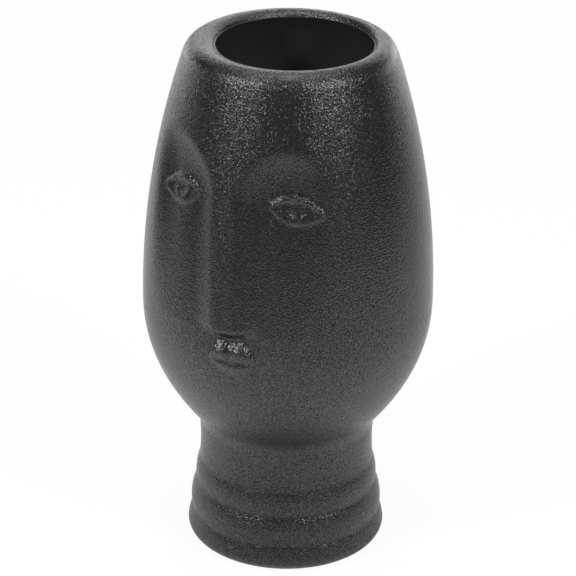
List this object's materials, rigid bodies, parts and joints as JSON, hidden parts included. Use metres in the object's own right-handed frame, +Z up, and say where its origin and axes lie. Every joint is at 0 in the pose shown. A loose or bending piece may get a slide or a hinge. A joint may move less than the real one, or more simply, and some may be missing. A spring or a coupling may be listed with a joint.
{
  "type": "face vase",
  "caption": "Hollow stoneware flower vase shaped as a stylised head with a face in relief, on a neck and a banded foot, glazed inside and standing on a felt pad.",
  "frame": {"origin": "on the surface that the vase stands on, under the middle of the foot", "axes": "+Z up along the axis of the foot and neck, -Y the way the face looks, +X to the right of a person who looks at the face"},
  "size_m": [0.119, 0.1224, 0.22],
  "materials": {
    "textured_stoneware": "matt black coat with an orange-peel grain",
    "black_glaze": "smooth satin glaze",
    "felt": "die-cut felt"
  },
  "bodies": {
    "root": {"vase_body": "textured_stoneware", "glaze_lining": "black_glaze", "base_pad": "felt"}
  },
  "joints": []
}
